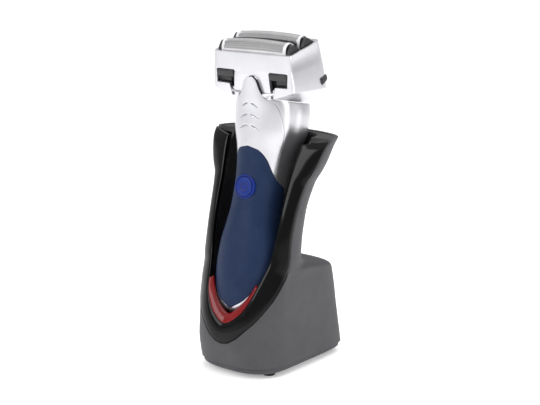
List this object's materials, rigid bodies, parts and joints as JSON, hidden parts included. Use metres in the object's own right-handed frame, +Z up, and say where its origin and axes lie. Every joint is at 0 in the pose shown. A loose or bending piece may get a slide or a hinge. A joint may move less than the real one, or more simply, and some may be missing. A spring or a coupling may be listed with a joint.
{
  "type": "foil shaver with charging stand",
  "caption": "Cordless foil shaver standing in its charging stand: a waisted handle with a soft front grip under a wide two-foil head, leaning back in a tall U-shaped cradle.",
  "frame": {"origin": "centre of the overall box, at the level of the rubber feet", "axes": "+X to the right seen from the front, +Y towards the back (the button side faces -Y), +Z up"},
  "size_m": [0.082, 0.0812, 0.1891],
  "materials": {
    "charcoal_plastic": "fine-textured charcoal moulding",
    "black_plastic": "satin black moulding",
    "gloss_black": "high-gloss black",
    "red_lens": "glossy see-through red",
    "rubber": "matt black rubber",
    "steel": "fine-ground steel",
    "circuit_board": "green solder mask",
    "brass": "plated brass",
    "silver_paint": "pearl silver lacquer over a moulding",
    "navy_grip": "satin navy soft-touch skin",
    "blue_plastic": "royal blue",
    "cell_sleeve": "printed sleeve over a metal can, no text",
    "foil_steel": "perforated thin steel"
  },
  "bodies": {
    "stand": {"stand_housing": "charcoal_plastic", "cradle": "black_plastic", "bezel": "gloss_black", "charge_lens": "red_lens", "base_plate": "charcoal_plastic", "foot_front_left": "rubber", "foot_front_right": "rubber", "foot_rear_left": "rubber", "foot_rear_right": "rubber", "base_screw_1": "steel", "base_screw_2": "steel", "base_screw_3": "steel", "charger_board": "circuit_board", "power_inlet": "black_plastic", "inlet_pin_left": "brass", "inlet_pin_right": "brass", "contact_left": "brass", "contact_right": "brass"},
    "shaver": {"rear_body": "silver_paint", "front_cover": "silver_paint", "grip": "navy_grip", "bottom_cap": "silver_paint", "terminal_left": "brass", "terminal_right": "brass", "button_ring": "blue_plastic", "button_switch": "black_plastic", "control_board": "circuit_board", "battery": "cell_sleeve", "chassis": "black_plastic", "motor": "steel", "head_base": "silver_paint"},
    "power_button": {"power_button": "blue_plastic"},
    "rotor": {"motor_shaft": "steel"},
    "oscillator": {"oscillator": "black_plastic"},
    "inner_blade_front": {"inner_blade_front": "steel"},
    "inner_blade_rear": {"inner_blade_rear": "steel"},
    "foil_head": {"foil_frame": "silver_paint", "foil_holder": "black_plastic"},
    "front_foil": {"front_foil": "foil_steel"},
    "rear_foil": {"rear_foil": "foil_steel"},
    "slit_blade": {"slit_blade": "foil_steel"},
    "release_left": {"release_button_left": "black_plastic"},
    "release_right": {"release_button_right": "black_plastic"},
    "trimmer": {"trimmer_slider": "black_plastic", "trimmer_blade": "foil_steel"}
  },
  "joints": [
    {"name": "shaver_lift", "type": "slide", "parent": "stand", "child": "shaver", "axis": [0, 0.1822, 0.9833], "range_m": [0, 0.15]},
    {"name": "power_button_press", "type": "slide", "parent": "shaver", "child": "power_button", "axis": [0, 0.9833, -0.1822], "range_m": [0, 0.0008], "stiffness_N_per_m": 600, "springref_m": -0.0004},
    {"name": "motor_spin", "type": "hinge", "parent": "shaver", "child": "rotor", "pos_m": [0, -0.0001, 0.12331], "axis": [0, 0.1822, 0.9833], "continuous": true},
    {"name": "blade_stroke", "type": "slide", "parent": "shaver", "child": "oscillator", "axis": [1, 0, 0], "range_m": [-0.0011, 0.0011]},
    {"name": "front_foil_float", "type": "slide", "parent": "foil_head", "child": "front_foil", "axis": [0, -0.2588, 0.9659], "range_m": [-0.0015, 0], "stiffness_N_per_m": 300, "springref_m": 0.001},
    {"name": "rear_foil_float", "type": "slide", "parent": "foil_head", "child": "rear_foil", "axis": [0, -0.2588, 0.9659], "range_m": [-0.0015, 0], "stiffness_N_per_m": 300, "springref_m": 0.001},
    {"name": "front_blade_float", "type": "slide", "parent": "oscillator", "child": "inner_blade_front", "axis": [0, -0.2588, 0.9659], "range_m": [-0.0015, 0]},
    {"name": "rear_blade_float", "type": "slide", "parent": "oscillator", "child": "inner_blade_rear", "axis": [0, -0.2588, 0.9659], "range_m": [-0.0015, 0]},
    {"name": "slit_blade_float", "type": "slide", "parent": "foil_head", "child": "slit_blade", "axis": [0, -0.2588, 0.9659], "range_m": [-0.001, 0], "stiffness_N_per_m": 300, "springref_m": 0.001},
    {"name": "foil_head_lift", "type": "slide", "parent": "shaver", "child": "foil_head", "axis": [0, -0.2588, 0.9659], "range_m": [0, 0.03]},
    {"name": "release_left_press", "type": "slide", "parent": "foil_head", "child": "release_left", "axis": [0.9455, -0.3145, -0.0843], "range_m": [0, 0.0015], "stiffness_N_per_m": 500, "springref_m": -0.0005},
    {"name": "release_right_press", "type": "slide", "parent": "foil_head", "child": "release_right", "axis": [-0.9455, -0.3145, -0.0843], "range_m": [0, 0.0015], "stiffness_N_per_m": 500, "springref_m": -0.0005},
    {"name": "trimmer_slide", "type": "slide", "parent": "shaver", "child": "trimmer", "axis": [0, 0.2956, 0.9553], "range_m": [0, 0.009]}
  ],
  "couplings": [
    {"joint": "front_blade_float", "follows": "front_foil_float", "ratio": 1},
    {"joint": "rear_blade_float", "follows": "rear_foil_float", "ratio": 1}
  ]
}
